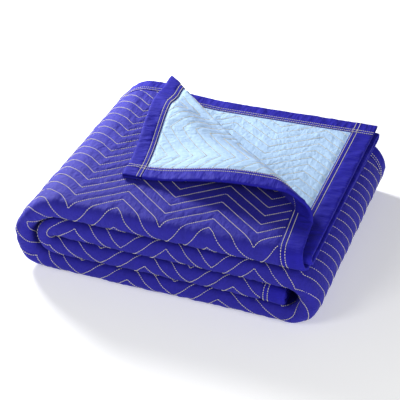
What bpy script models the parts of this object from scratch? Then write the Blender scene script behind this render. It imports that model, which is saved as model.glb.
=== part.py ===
"""Quilted moving blanket, 72 x 80 in, folded for storage with one corner turned back.

The blanket is folded across its width into a strip of four layers, and the strip is
wound along its length into a flat spiral of four rolls.  A point of the cloth is named
by (s, v): s runs along the length from the free end on top, v runs across the width
from the back edge of the uppermost layer.
"""
import math

import bpy
import numpy as np
from mathutils import Vector
from mathutils.geometry import delaunay_2d_cdt

MM = 0.001
INCH = 0.0254

# Driving dimensions, metres
WIDTH = 72 * INCH            # cut width of the blanket, across the strip
ROLL = 0.038                 # height of one roll, which is four layers
LAYER = ROLL / 4             # distance from one layer's middle to the next
HALF = 4.0 * MM              # half the thickness of the quilted cloth at a crest
DEPTH = 0.461                # front fold to back edge
X_LEFT = 0.0                 # axis of the large left turn
X_LEFT_IN = 0.002            # axis of the small left turn inside it, a little loose
X_RIGHT = 0.4105             # axis of the right turn
X_INNER_END = 0.408          # free end of the strip inside the right turn
TOP_LENGTH = 0.4334          # cloth from the free end on top to the left turn

# Free end on top: where each layer ends, as (layer place, X)
TOP_END = {
    "upper back": 0.390,
    "upper front": 0.431,
    "fold front": 0.436,
    "lower front": 0.442,
    "lower back": 0.450,
    "third back": 0.450,
    "third front": 0.449,
    "second front": 0.446,
    "second back": 0.444,
}

# Corner turned back: its crease runs from the back edge to the right edge
CREASE_START = (0.034, 0.459)
CREASE_END = (0.415, 0.108)
BEND = 7.0 * MM              # radius of the soft crease, middle of the cloth
DROOP = 0.130                # distance over which the flap comes down to rest
ARCH = 40.0 * MM             # how far the flap's front edge stands up
ARCH_PLACE = 0.64            # its highest place, from the corner (0) to the crease (1)
ARCH_SPREAD = 0.34
ARCH_DEPTH = 0.12            # how far the arch reaches into the flap
ARCH_START = 0.180           # distance from the crease over which it rises
FLAP_LINES = 9               # mesh lines each way across the flap

# How far the back edges stand off a straight line, at thirds of the top roll
UPPER_BULGE = [-4.0 * MM, 5.0 * MM, 11.0 * MM, 0.0]
SECOND_BULGE = [0.0, -7.0 * MM, -13.0 * MM, 0.0]

# Uneven lie of the stack
PRESS_LEFT = 5.5 * MM        # sink of the middle of the stack
PRESS_RIGHT = 7.5 * MM       # the same at the right turn
PRESS_SHARE = [0.0, 1.0, 0.8, 0.0]   # share of it up the stack
SPILL = 11.0 * MM            # lean of the left turns, outward
SPILL_REACH = 0.15           # length along the stack over which it dies out
SPILL_TOP = 3.45 * ROLL      # height at which the lean starts
SPILL_DROP = 1.30 * ROLL     # and how far below it the lean is full
FOLD_SQUARE = 3.0            # front folds are fuller than round (2)
TURN_SQUARE = 3.0            # so is the left turn where it rests on the floor
FRONT_WAVE = 1.6 * MM        # waves of the folded front, in and out
WAVE_TURN = 0.047            # length along the strip for each radian of a wave
WAVE_START = 0.7
WAVE_REACH = 0.12            # depth over which the front's waves die out

# Quilting
ROW = INCH                   # distance between stitched rows
ARM = 0.083                  # length of one arm of the zigzag
SWING = 0.0325               # how far the zigzag swings to each side
ROW_START = 0.0126           # middle of the first row, from the upper edge
TROUGH = 2.2 * MM            # half thickness at a stitched row
PLAIN = 3.7 * MM             # half thickness where the rows are out of sight

# Binding
BINDING = 1.58 * INCH        # width of the tape on each side of the cloth
TAPE = 1.0 * MM
GAP = 0.3 * MM               # clearance between pieces that touch
SLACK = 0.8 * MM             # room between the cloth's edge and the tape round it
PINCH = 1.7 * MM             # half thickness of the cloth pressed under the tape
INSET = TAPE + SLACK         # cloth edge to the outside of the tape
PINCH_REACH = 1.0 * MM       # how far past the tape the cloth stays pressed
RAMP = 3.0 * MM              # from the tape to the full thickness of the cloth
NOSE = 0.4 * MM              # mesh lines of the tape round the cloth's edge
SHOULDER = 1.2 * MM
END_MARGIN = 0.012           # least space from the tape's end to a mesh line

# Where the quilting is raised, since it shows there
LEFT_SHARE = 0.35            # part of the left turn, from the top
RIGHT_START = 0.06           # length of the right turn left plain at the floor
FOLD_MARGIN = 5.0 * MM       # rows run this far past the front fold, each way
SECOND_START = 0.06          # first depth of the second layer that the flap uncovers
SECOND_REACH = 0.42          # how far along the top roll it is uncovered at the back

# Mesh steps of each turn and fold
LEFT_STEPS = 10
RIGHT_STEPS = 8
INNER_STEPS = 6
FOLD_STEPS = 6
SMALL_FOLD_STEPS = 4
BEND_STEPS = 6
CREASE_OVERRUN = 0.03        # crease lines run this far past the cloth's edges
MERGE = 0.3 * MM             # mesh points closer than this are joined

SHARP = math.radians(40.0)   # mesh edges sharper than this are shaded as edges
ROYAL_BLUE = (0.030, 0.022, 0.420, 1.0)
TAPE_BLUE = (0.016, 0.010, 0.300, 1.0)
LIGHT_BLUE = (0.480, 0.640, 0.980, 1.0)

# Turns of the strip, as lengths along s where each stretch ends
S_TOP = TOP_LENGTH
S_LEFT = S_TOP + math.pi * 1.5 * ROLL
S_BOTTOM = S_LEFT + X_RIGHT - X_LEFT
S_RIGHT = S_BOTTOM + math.pi * ROLL
S_SECOND = S_RIGHT + X_RIGHT - X_LEFT_IN
S_INNER = S_SECOND + math.pi * 0.5 * ROLL
LENGTH = S_INNER + X_INNER_END - X_LEFT_IN

# Folds of the strip's section, as widths along v where each stretch ends
BIG_FOLD = 1.5 * LAYER
SMALL_FOLD = 0.5 * LAYER
Y_FRONT = BIG_FOLD + HALF
Y_BACK = DEPTH - SMALL_FOLD - HALF
V_UPPER = DEPTH - Y_FRONT
V_FRONT = V_UPPER + math.pi * BIG_FOLD
V_LOWER = V_FRONT + Y_BACK - Y_FRONT
V_BACK = V_LOWER + math.pi * SMALL_FOLD
V_THIRD = V_BACK + Y_BACK - Y_FRONT
V_INNER = V_THIRD + math.pi * SMALL_FOLD
Y_SECOND_EDGE = Y_FRONT + WIDTH - V_INNER

FLOOR_LIFT = 0.5 * ROLL - BIG_FOLD - HALF
X_MIDDLE = 0.5 * (X_RIGHT + ROLL + X_LEFT - 1.5 * ROLL - SPILL)
Y_MIDDLE = 0.5 * (DEPTH + FRONT_WAVE)


def smooth(t):
    """Ease from 0 to 1."""
    t = np.clip(t, 0.0, 1.0)
    return t * t * (3.0 - 2.0 * t)


def bell(t):
    """Smooth hump, 1 in the middle."""
    return np.exp(-t * t)


def fullness(angle, power):
    """How far a fold fuller than round reaches at an angle, 1 where it is level."""
    total = np.abs(np.cos(angle)) ** power + np.abs(np.sin(angle)) ** power
    return total ** (-1.0 / power)


def top_end(v):
    """X of the free end on top, for each place across the width."""
    places = [0.0, V_UPPER, 0.5 * (V_UPPER + V_FRONT), V_FRONT,
              V_LOWER, V_BACK, V_THIRD, V_INNER, WIDTH]
    return np.interp(v, places, list(TOP_END.values()))


def spiral(s, v):
    """Middle of the strip in the XZ plane and the direction out of the spiral."""
    x = top_end(v) * (1.0 - s / S_TOP)
    z = np.full_like(s, 3.5 * ROLL)
    nx = np.zeros_like(s)
    nz = np.ones_like(s)
    turns = [(S_TOP, S_LEFT, X_LEFT, 2.0 * ROLL, 1.5 * ROLL, 90.0),
             (S_BOTTOM, S_RIGHT, X_RIGHT, 1.5 * ROLL, ROLL, -90.0),
             (S_SECOND, S_INNER, X_LEFT_IN, 2.0 * ROLL, 0.5 * ROLL, 90.0)]
    runs = [(S_LEFT, S_BOTTOM, X_LEFT, 0.5 * ROLL, 1.0),
            (S_RIGHT, S_SECOND, X_RIGHT, 2.5 * ROLL, -1.0),
            (S_INNER, LENGTH + 1.0, X_LEFT_IN, 1.5 * ROLL, 1.0)]
    for start, end, cx, cz, radius, first in turns:
        here = (s > start) & (s <= end)
        angle = math.radians(first) + (s[here] - start) / radius
        nx[here] = np.cos(angle)
        nz[here] = np.sin(angle)
        x[here] = cx + radius * nx[here]
        z[here] = cz + radius * nz[here]
    for start, end, first, height, way in runs:
        here = (s > start) & (s <= end)
        x[here] = first + way * (s[here] - start)
        z[here] = height
        nx[here] = 0.0
        nz[here] = -way
    return x, z, nx, nz


def upper_edge(s):
    """Y of the upper layer's back edge, curved outward near the corner."""
    return DEPTH + np.interp(s, spread(0.0, S_TOP, 3), UPPER_BULGE)


def second_edge(s):
    """Y of the second layer's back edge, drawn in along the middle."""
    return Y_SECOND_EDGE + np.interp(s, spread(0.0, S_TOP, 3), SECOND_BULGE)


def section(s, v):
    """Place of the cloth in the strip's section: height off its middle, and Y."""
    h = np.full_like(v, BIG_FOLD)
    y = Y_FRONT + (V_UPPER - v) / V_UPPER * (upper_edge(s) - Y_FRONT)
    folds = [(V_UPPER, V_FRONT, Y_FRONT, 0.0, BIG_FOLD, 0.0, -1.0),
             (V_LOWER, V_BACK, Y_BACK, -LAYER, SMALL_FOLD, 180.0, 1.0),
             (V_THIRD, V_INNER, Y_FRONT, 0.0, SMALL_FOLD, 180.0, -1.0)]
    for start, end, cy, ch, radius, first, side in folds:
        here = (v > start) & (v <= end)
        turn = (v[here] - start) / radius
        if first == 0.0:
            reach = radius * fullness(turn, FOLD_SQUARE)
            h[here] = ch + reach * np.cos(turn)
        else:
            reach = radius
            h[here] = ch - reach * np.cos(turn)
        y[here] = cy + side * reach * np.sin(turn)
    lower = (v > V_FRONT) & (v <= V_LOWER)
    h[lower] = -BIG_FOLD
    y[lower] = Y_FRONT + (v[lower] - V_FRONT)
    third = (v > V_BACK) & (v <= V_THIRD)
    h[third] = -SMALL_FOLD
    y[third] = Y_BACK - (v[third] - V_BACK)
    second = v > V_INNER
    h[second] = SMALL_FOLD
    share = (v[second] - V_INNER) / (WIDTH - V_INNER)
    y[second] = Y_FRONT + share * (second_edge(s[second]) - Y_FRONT)
    return h, y


def crease_axes():
    """Unit vectors along the crease and square to it, towards the corner."""
    ax, ay = CREASE_START
    bx, by = CREASE_END
    span = math.hypot(bx - ax, by - ay)
    along = ((bx - ax) / span, (by - ay) / span)
    across = (-along[1], along[0])
    return along, across, span


def turn_corner(x, y, s, v):
    """Bend the upper layer's corner over the crease.  Returns x, y and rise."""
    along, across, _ = crease_axes()
    px = x - CREASE_START[0]
    py = y - CREASE_START[1]
    e = px * along[0] + py * along[1]
    d = px * across[0] + py * across[1]
    m = d + BEND
    bent = (m > 0.0) & (s < S_TOP) & (v < V_UPPER)
    angle = np.clip(m / BEND, 0.0, math.pi)
    past = np.maximum(m - math.pi * BEND, 0.0)
    place = -BEND + BEND * np.sin(angle) - past
    rise = BEND * (1.0 - np.cos(angle))
    rise = rise - (2.0 * BEND - LAYER) * smooth(past / DROOP)
    front = v / (DEPTH - CREASE_END[1])
    reach = np.maximum(s - BINDING, 0.0) / ARCH_DEPTH
    arch = ARCH * bell((front - ARCH_PLACE) / ARCH_SPREAD) * bell(reach)
    rise = rise + arch * smooth(m / ARCH_START)
    new_x = CREASE_START[0] + e * along[0] + place * across[0]
    new_y = CREASE_START[1] + e * along[1] + place * across[1]
    return (np.where(bent, new_x, x), np.where(bent, new_y, y),
            np.where(bent, rise, 0.0))


def settle(x, y, z, s):
    """Uneven lie of the stack: slumped left turns, flatter rolls, a wavy front."""
    outer = smooth((np.hypot(x - X_LEFT, z - 2.0 * ROLL) - ROLL) / (0.5 * ROLL))
    low = (x < X_LEFT) & (z < 2.0 * ROLL)
    swell = fullness(np.arctan2(z - 2.0 * ROLL, x - X_LEFT), TURN_SQUARE) - 1.0
    swell = np.where(low, 1.0 + outer * swell, 1.0)
    x = X_LEFT + (x - X_LEFT) * swell
    z = 2.0 * ROLL + (z - 2.0 * ROLL) * swell
    lean = smooth((SPILL_TOP - z) / SPILL_DROP) * (1.0 - smooth(x / SPILL_REACH))
    x = x - SPILL * lean
    press = np.interp(x, [X_RIGHT * 2.0 / 3.0, X_RIGHT], [PRESS_LEFT, PRESS_RIGHT])
    heights = [0.5 * ROLL - BIG_FOLD, 2.0 * ROLL, 3.0 * ROLL, 3.5 * ROLL + BIG_FOLD]
    z = z - press * np.interp(z, heights, PRESS_SHARE)
    places = np.array([0.0] + length_lines() + [LENGTH])
    waves = FRONT_WAVE * np.sin(places / WAVE_TURN + WAVE_START)
    y = y + np.interp(s, places, waves) * (1.0 - smooth(y / WAVE_REACH))
    return x, y, z


def middle(s, v):
    """Middle surface of the folded cloth, as rows of X, Y, Z."""
    x, z, nx, nz = spiral(s, v)
    h, y = section(s, v)
    x = x + nx * h
    z = z + nz * h
    x, y, rise = turn_corner(x, y, s, v)
    x, y, z = settle(x, y, z, s)
    return np.stack([x - X_MIDDLE, y - Y_MIDDLE, z + rise - FLOOR_LIFT], axis=1)


def placed(s, v, offset):
    """Point at an offset from the middle surface, positive on the dark face."""
    step = 0.1 * MM
    along = middle(s + step, v) - middle(s - step, v)
    over = middle(s, v + step) - middle(s, v - step)
    normal = np.cross(along, over)
    normal /= np.linalg.norm(normal, axis=1)[:, None]
    return middle(s, v) + offset[:, None] * normal


def row_shift(s):
    """Zigzag of a stitched row across the width."""
    turn = np.abs((s / ARM) % 2.0 - 1.0)
    return SWING * (1.0 - 2.0 * turn)


def quilted(s, v):
    """Half thickness of the quilting: thin at a stitched row, thick between rows."""
    phase = (v - ROW_START - row_shift(s)) / ROW
    return TROUGH + (HALF - TROUGH) * np.abs(np.sin(math.pi * phase))


def material_place(x, y):
    """(s, v) of the upper layer's cloth that lay at plan point x, y before the turn."""
    v = DEPTH - y
    for _ in range(4):
        s = S_TOP * (1.0 - x / float(top_end(v)))
        v = V_UPPER * (1.0 - (y - Y_FRONT) / (float(upper_edge(s)) - Y_FRONT))
    return s, v


def crease_line(m, samples=5):
    """Line of the cloth at distance m past the start of the bend."""
    along, across, span = crease_axes()
    line = []
    for i in range(samples):
        share = i / (samples - 1)
        e = -CREASE_OVERRUN + (span + 2.0 * CREASE_OVERRUN) * share
        x = CREASE_START[0] + e * along[0] + (m - BEND) * across[0]
        y = CREASE_START[1] + e * along[1] + (m - BEND) * across[1]
        line.append(material_place(x, y))
    return line


def clip(a, b, polygon):
    """Part of segment a-b inside a convex polygon listed anticlockwise, or None."""
    low, high = 0.0, 1.0
    dx, dy = b[0] - a[0], b[1] - a[1]
    for (x0, y0), (x1, y1) in zip(polygon, polygon[1:] + polygon[:1]):
        nx, ny = y0 - y1, x1 - x0
        inside = (a[0] - x0) * nx + (a[1] - y0) * ny
        speed = dx * nx + dy * ny
        if abs(speed) < 1e-12:
            if inside < 0.0:
                return None
            continue
        t = -inside / speed
        if speed > 0.0:
            low = max(low, t)
        else:
            high = min(high, t)
    if high - low < 1e-3:
        return None
    return ((a[0] + low * dx, a[1] + low * dy), (a[0] + high * dx, a[1] + high * dy))


def clip_line(line, polygon):
    """Segments of a polyline that lie inside a convex polygon."""
    parts = [clip(a, b, polygon) for a, b in zip(line, line[1:])]
    return [part for part in parts if part]


def rectangle(s0, s1, v0, v1):
    return [(s0, v0), (s1, v0), (s1, v1), (s0, v1)]


def quilt_rows(polygon):
    """Stitched rows and the crests between them inside a polygon."""
    segments = []
    arms = math.ceil(LENGTH / ARM)
    turns = np.arange(arms + 1) * ARM
    first = -math.ceil(SWING / ROW)
    last = math.ceil((WIDTH + SWING) / ROW)
    for half_row in range(2 * first, 2 * last):
        start = ROW_START + 0.5 * half_row * ROW
        line = [(s, start + float(row_shift(np.array([s]))[0])) for s in turns]
        segments += clip_line(line, polygon)
    return segments


def spread(start, end, steps):
    """Evenly spaced places from start to end."""
    return [start + (end - start) * i / steps for i in range(steps + 1)]


def length_lines():
    """Places along the length where the mesh has a line."""
    turns = (spread(S_TOP, S_LEFT, LEFT_STEPS) + spread(S_BOTTOM, S_RIGHT, RIGHT_STEPS)
             + spread(S_SECOND, S_INNER, INNER_STEPS))
    runs = (spread(0.0, S_TOP, 3) + spread(S_LEFT, S_BOTTOM, 3)
            + spread(S_RIGHT, S_SECOND, 3) + spread(S_INNER, LENGTH, 3))
    return sorted(set(round(s, 6) for s in turns + runs))[1:-1]


def width_lines():
    """Places across the width where the mesh has a line."""
    folds = (spread(V_UPPER, V_FRONT, FOLD_STEPS)
             + spread(V_LOWER, V_BACK, SMALL_FOLD_STEPS)
             + spread(V_THIRD, V_INNER, SMALL_FOLD_STEPS))
    layers = spread(0.0, V_UPPER, 2) + spread(V_INNER, WIDTH, 2)
    return sorted(set(round(v, 6) for v in folds + layers))[1:-1]


def bend_lines():
    """Mesh lines along the crease, through the bend."""
    return [crease_line(m) for m in spread(0.0, math.pi * BEND, BEND_STEPS)]


def flap_lines():
    """Places of the flap's own mesh lines, the same along and across."""
    return spread(BINDING, S_TOP - BINDING, FLAP_LINES)[1:-1]


def triangulate(domain, segments):
    """Triangles of a rectangle that keep the given segments as mesh lines."""
    points = [Vector(corner) for corner in domain]
    edges = [(0, 1), (1, 2), (2, 3), (3, 0)]
    for a, b in segments:
        edges.append((len(points), len(points) + 1))
        points += [Vector(a), Vector(b)]
    found = delaunay_2d_cdt(points, edges, [], 0, MERGE)
    flat = np.array([(p.x, p.y) for p in found[0]])
    faces = []
    for a, b, c in found[2]:
        u, w = flat[b] - flat[a], flat[c] - flat[a]
        faces.append((a, b, c) if u[0] * w[1] - u[1] * w[0] > 0.0 else (a, c, b))
    return flat, faces


def rim_order(flat, domain):
    """Indices of the points on a rectangle's border, in order round it."""
    (s0, v0), _, (s1, v1), _ = domain
    tiny = 1e-6
    sides = [
        (np.abs(flat[:, 1] - v0) < tiny, flat[:, 0]),
        (np.abs(flat[:, 0] - s1) < tiny, flat[:, 1]),
        (np.abs(flat[:, 1] - v1) < tiny, -flat[:, 0]),
        (np.abs(flat[:, 0] - s0) < tiny, -flat[:, 1]),
    ]
    order = []
    for on_side, key in sides:
        found = np.nonzero(on_side)[0]
        for index in found[np.argsort(key[found])]:
            if index not in order:
                order.append(int(index))
    return order


def slab(outer, inner, outer_points, inner_points, domain):
    """Closed mesh between two triangulated sheets that share their border."""
    outer_flat, outer_faces = outer
    inner_flat, inner_faces = inner
    base = len(outer_points)
    faces = list(outer_faces)
    faces += [(base + c, base + b, base + a) for a, b, c in inner_faces]
    outer_rim = rim_order(outer_flat, domain)
    inner_rim = rim_order(inner_flat, domain)
    for i, here in enumerate(outer_rim):
        after = outer_rim[(i + 1) % len(outer_rim)]
        low = base + inner_rim[i]
        low_after = base + inner_rim[(i + 1) % len(inner_rim)]
        faces += [(here, low, low_after), (here, low_after, after)]
    return np.concatenate([outer_points, inner_points]), faces


def signed_volume(points, faces):
    """Volume inside a closed mesh, negative if its faces point in."""
    a, b, c = (points[[face[i] for face in faces]] for i in range(3))
    return float(np.sum(a * np.cross(b, c))) / 6.0


def add_object(name, points, faces, colour):
    """Mesh object with its own cloth material, its faces pointing out."""
    if signed_volume(points, faces) < 0.0:
        faces = [face[::-1] for face in faces]
    mesh = bpy.data.meshes.new(name)
    mesh.from_pydata([tuple(p) for p in points.tolist()], [], faces)
    mesh.validate()
    mesh.shade_smooth()
    mesh.set_sharp_from_angle(angle=SHARP)
    item = bpy.data.objects.new(name, mesh)
    bpy.context.scene.collection.objects.link(item)
    material = bpy.data.materials.new(name + "_cloth")
    material.use_nodes = True
    shader = material.node_tree.nodes["Principled BSDF"]
    shader.inputs["Base Color"].default_value = colour
    shader.inputs["Roughness"].default_value = 0.85
    shader.inputs["Metallic"].default_value = 0.0
    mesh.materials.append(material)
    return item


def panel_lines():
    """Domain of the two panels, and the mesh lines that all their sides share."""
    s0, s1 = INSET, LENGTH - INSET
    v0, v1 = INSET, WIDTH - INSET
    tape = [BINDING + 0.5 * PINCH_REACH, BINDING + RAMP]
    clear = BINDING + END_MARGIN
    s_places = [s for s in length_lines() if clear < s < LENGTH - clear]
    s_places += tape + [LENGTH - place for place in tape]
    v_places = [v for v in width_lines() if clear < v < WIDTH - clear]
    v_places += tape + [WIDTH - place for place in tape]
    segments = [((s, v0), (s, v1)) for s in s_places]
    segments += [((s0, v), (s1, v)) for v in v_places]
    upper = rectangle(s0, S_TOP, v0, V_UPPER)
    for line in bend_lines():
        segments += clip_line(line, upper)
    flap = beside_crease(upper, math.pi * BEND, True)
    for place in flap_lines():
        segments += clip_line([(place, v0), (place, V_UPPER)], flap)
        segments += clip_line([(s0, place), (S_TOP, place)], flap)
    return rectangle(s0, s1, v0, v1), segments


def beside_crease(polygon, m, corner):
    """Part of a polygon on the corner's side of a crease line, or beyond it."""
    (s0, v0), (s1, v1) = crease_line(m, 2)

    def side(point):
        return (point[0] - s0) * (v1 - v0) - (point[1] - v0) * (s1 - s0)

    sign = 1.0 if (side((0.0, 0.0)) > 0.0) == corner else -1.0
    kept = []
    for a, b in zip(polygon, polygon[1:] + polygon[:1]):
        near, far = sign * side(a), sign * side(b)
        if near >= 0.0:
            kept.append(a)
        if near * far < 0.0:
            t = near / (near - far)
            kept.append((a[0] + t * (b[0] - a[0]), a[1] + t * (b[1] - a[1])))
    return kept


def inside(s, v, polygon):
    """Which points lie in a convex polygon listed anticlockwise."""
    found = np.ones_like(s, dtype=bool)
    for (s0, v0), (s1, v1) in zip(polygon, polygon[1:] + polygon[:1]):
        found &= (s1 - s0) * (v - v0) - (v1 - v0) * (s - s0) > -1e-7
    return found


def face_zones():
    """Where rows show on the dark face: top, left turn, front folds, right turn."""
    low = BINDING + RAMP
    left = S_TOP + LEFT_SHARE * (S_LEFT - S_TOP)
    front = V_UPPER - FOLD_MARGIN
    under = V_FRONT + FOLD_MARGIN
    top = beside_crease(rectangle(low, left, low, under), 0.0, False)
    return [top,
            rectangle(left, LENGTH - low, front, under),
            rectangle(S_BOTTOM + RIGHT_START, S_RIGHT, low, front)]


def back_zones():
    """Where rows show on the light face: the flap, and the layer it uncovers."""
    low = BINDING + RAMP
    far = WIDTH - low
    flap = rectangle(low, S_TOP - BEND, low, V_UPPER - FOLD_MARGIN)
    second = [(low, V_INNER + SECOND_START), (SECOND_REACH, far), (low, far)]
    return [beside_crease(flap, BEND, True), second]


def half_thickness(flat, zones):
    """Half thickness of the cloth at each point, thin under the tape."""
    s, v = flat[:, 0], flat[:, 1]
    edge = np.minimum(np.minimum(s, LENGTH - s), np.minimum(v, WIDTH - v))
    shown = np.zeros_like(s, dtype=bool)
    for polygon in zones:
        shown |= inside(s, v, polygon)
    half = np.where(shown, quilted(s, v), PLAIN)
    resting = (s > S_LEFT - 1e-6) & (s < S_BOTTOM + 1e-6) & (v < V_UPPER + 1e-6)
    half = np.where(resting, HALF, half)
    return np.where(edge < BINDING + PINCH_REACH, PINCH, half)


def add_panel(name, side, zones, colour):
    """One cloth of the quilt, from the middle surface out to its quilted side."""
    domain, segments = panel_lines()
    rows = [segment for polygon in zones for segment in quilt_rows(polygon)]
    plain = triangulate(domain, segments)
    shown = triangulate(domain, segments + rows)
    seam = np.full(len(plain[0]), side * 0.5 * GAP)
    outer = placed(shown[0][:, 0], shown[0][:, 1],
                   side * half_thickness(shown[0], zones))
    inner = placed(plain[0][:, 0], plain[0][:, 1], seam)
    points, faces = slab(shown, plain, outer, inner, domain)
    return add_object(name, points, faces, colour)


def tape_section(a):
    """Outer and inner sides of the folded tape at distance a round its nose."""
    reach = np.abs(a)
    places = [0.0, NOSE, SHOULDER, BINDING]
    side = np.sign(a)
    outer = (np.interp(reach, places, [0.0, 0.0, SHOULDER - NOSE, BINDING]),
             side * np.interp(reach, places, [0.0, 0.65 * HALF, HALF, HALF]))
    leg = HALF - TAPE
    inner = (np.interp(reach, places, [TAPE, TAPE, TAPE, BINDING]),
             side * np.interp(reach, places, [0.0, 0.75 * leg, leg, leg]))
    return outer, inner


def add_tape(name, start, end, stations, to_cloth, bends):
    """Folded tape along one edge.  to_cloth gives (s, v) from place and inset."""
    domain = rectangle(start, end, -BINDING, BINDING)
    lines = [a * side for a in (NOSE, SHOULDER) for side in (1.0, -1.0)]
    segments = [((start, a), (end, a)) for a in lines]
    segments += [((t, -BINDING), (t, BINDING)) for t in stations
                 if start + END_MARGIN < t < end - END_MARGIN]
    for line in bends:
        segments += clip_line(line, rectangle(start, end, 0.0, BINDING))
        mirrored = [(t, -a) for t, a in line]
        segments += clip_line(mirrored, rectangle(start, end, -BINDING, 0.0))
    sheet = triangulate(domain, segments)
    t, a = sheet[0][:, 0], sheet[0][:, 1]
    sides = []
    for inset, offset in tape_section(a):
        s, v = to_cloth(t, inset)
        sides.append(placed(s, v, offset))
    points, faces = slab(sheet, sheet, sides[0], sides[1], domain)
    return add_object(name, points, faces, TAPE_BLUE)


def build():
    """Make the two cloths and the four tapes."""
    for item in list(bpy.data.objects):
        bpy.data.objects.remove(item, do_unlink=True)
    add_panel("face_panel", 1.0, face_zones(), ROYAL_BLUE)
    add_panel("back_panel", -1.0, back_zones(), LIGHT_BLUE)
    bends = bend_lines()
    turned = [[(v, s) for s, v in line] for line in bends]
    along, across = length_lines(), width_lines()
    low = BINDING + GAP
    add_tape("binding_upper_side", 0.0, LENGTH, along + flap_lines(),
             lambda t, w: (t, w), bends)
    add_tape("binding_lower_side", 0.0, LENGTH, along,
             lambda t, w: (t, WIDTH - w), [])
    add_tape("binding_top_end", low, WIDTH - low, across + flap_lines(),
             lambda t, w: (w, t), turned)
    add_tape("binding_inner_end", low, WIDTH - low, across,
             lambda t, w: (LENGTH - w, t), [])


build()
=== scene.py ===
"""Looks of a quilted moving blanket, folded for storage with one corner turned back.

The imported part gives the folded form.  This script lays finer cloth, binding tape and
stitching on it and sets a plain studio.  A point of the cloth is named by (s, v): s runs
along the length from the free end on top, v runs across the width from the back edge of
the uppermost layer.
"""

import math

import bpy
import numpy as np
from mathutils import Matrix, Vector
from mathutils.geometry import delaunay_2d_cdt

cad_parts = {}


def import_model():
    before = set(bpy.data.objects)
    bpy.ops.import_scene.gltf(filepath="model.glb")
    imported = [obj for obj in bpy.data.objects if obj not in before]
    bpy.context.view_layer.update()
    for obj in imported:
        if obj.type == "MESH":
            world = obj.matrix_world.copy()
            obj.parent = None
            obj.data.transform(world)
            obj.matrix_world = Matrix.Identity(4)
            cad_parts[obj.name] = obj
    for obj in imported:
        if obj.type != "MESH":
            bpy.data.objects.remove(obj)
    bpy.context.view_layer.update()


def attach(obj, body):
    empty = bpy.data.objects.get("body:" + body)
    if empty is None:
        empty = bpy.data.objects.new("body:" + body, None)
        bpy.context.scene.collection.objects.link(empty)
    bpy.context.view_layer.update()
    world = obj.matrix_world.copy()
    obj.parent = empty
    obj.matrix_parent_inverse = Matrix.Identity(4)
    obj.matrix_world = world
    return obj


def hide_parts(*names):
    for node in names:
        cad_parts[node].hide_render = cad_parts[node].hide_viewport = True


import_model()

bl_info = {
    "name": "Folded Moving Blanket",
    "version": (1, 0, 0),
    "blender": (4, 5, 0),
    "location": "View3D > Sidebar > Blanket",
    "description": "Quilted moving blanket, folded, with its cloths, binding and stitching",
    "category": "Object",
}

MM = 0.001
INCH = 0.0254

# Folded form, after the part's own
WIDTH = 72 * INCH            # cut width of the blanket, across the strip
ROLL = 0.038                 # height of one roll, which is four layers
LAYER = ROLL / 4
HALF = 4.0 * MM              # half the thickness of the quilted cloth at a crest
DEPTH = 0.461                # front fold to back edge
X_LEFT = 0.0                 # axis of the large left turn
X_LEFT_IN = 0.002            # axis of the small left turn inside it
X_RIGHT = 0.4105             # axis of the right turn
X_INNER_END = 0.408          # free end of the strip inside the right turn
TOP_LENGTH = 0.4334          # cloth from the free end on top to the left turn
TOP_END = [0.390, 0.431, 0.436, 0.442, 0.450, 0.450, 0.449, 0.446, 0.444]
CREASE_START = (0.034, 0.459)
CREASE_END = (0.415, 0.108)
BEND = 7.0 * MM
DROOP = 0.130                # cloth past the crease before the flap lies down
ARCH = 31.0 * MM             # rise of the flap's front edge
ARCH_PLACE = 0.75
ARCH_SPREAD = 0.45
ARCH_DEPTH = 0.10
ARCH_START = 0.045
ARCH_FULL = 0.04             # depth from the front edge over which the arch is full
HUMP = 28.0 * MM             # swell of the flap between its corner and the crease
HUMP_PLACE = 0.215
HUMP_SPREAD = 0.085
HUMP_START = 0.065
TUCK = 9.5 * MM              # how far the flap's left edge is drawn in
TUCK_REACH = 0.10
TUCK_CORNER = 0.65           # share of it at the corner itself
TUCK_RISE = 0.06
TUCK_END = 0.40
TUCK_FADE = 0.22
TUCK_START = 0.03
PEAK = 10.0 * MM             # lift of the crease at its back end
PEAK_ALONG = 0.10
PEAK_ACROSS = 0.09
UPPER_BULGE = [-4.0 * MM, 5.0 * MM, 11.0 * MM, 0.0]
SECOND_BULGE = [0.0, -7.0 * MM, -13.0 * MM, 0.0]
PRESS_LEFT = 5.5 * MM
PRESS_RIGHT = 7.5 * MM
PRESS_SHARE = [0.0, 1.0, 0.8, 0.0]
SPILL = 11.0 * MM
SPILL_REACH = 0.15
SPILL_TOP = 3.45 * ROLL
SPILL_DROP = 1.30 * ROLL
FOLD_SQUARE = 2.5
TURN_SQUARE = 3.0
FRONT_WAVE = 1.6 * MM
WAVE_TURN = 0.047
WAVE_START = 0.7
WAVE_REACH = 0.12
ROW_START = 0.0126           # middle of the first row, from the upper edge
TIP_COUNTS = [0, 1, 2, 5, 8, 11, 13, 15, 18, 20, 23, 25]        # tips of the zigzag
TIP_PLACES = [0.0, 0.082, 0.163, 0.410, 0.660, 0.905, 1.125, 1.272, 1.515, 1.690,
              1.928, 2.10]
ROW_DRIFT = 7.6 * MM         # rows lie this much lower on the top roll's front
DRIFT_START = 10.0 * MM
DRIFT_REACH = 40.0 * MM
ROUNDS = 6                   # repeats until a row's place settles
TAPE_SEAM = 1.8 * MM         # cloth edge to the outside of the tape
CLOTH_START = 4.0 * TAPE_SEAM    # the same at the turned end, where the tape gapes

# Turns of the strip, as lengths along s where each stretch ends
S_TOP = TOP_LENGTH
S_LEFT = S_TOP + math.pi * 1.5 * ROLL
S_BOTTOM = S_LEFT + X_RIGHT - X_LEFT
S_RIGHT = S_BOTTOM + math.pi * ROLL
S_SECOND = S_RIGHT + X_RIGHT - X_LEFT_IN
S_INNER = S_SECOND + math.pi * 0.5 * ROLL
LENGTH = S_INNER + X_INNER_END - X_LEFT_IN

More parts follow.
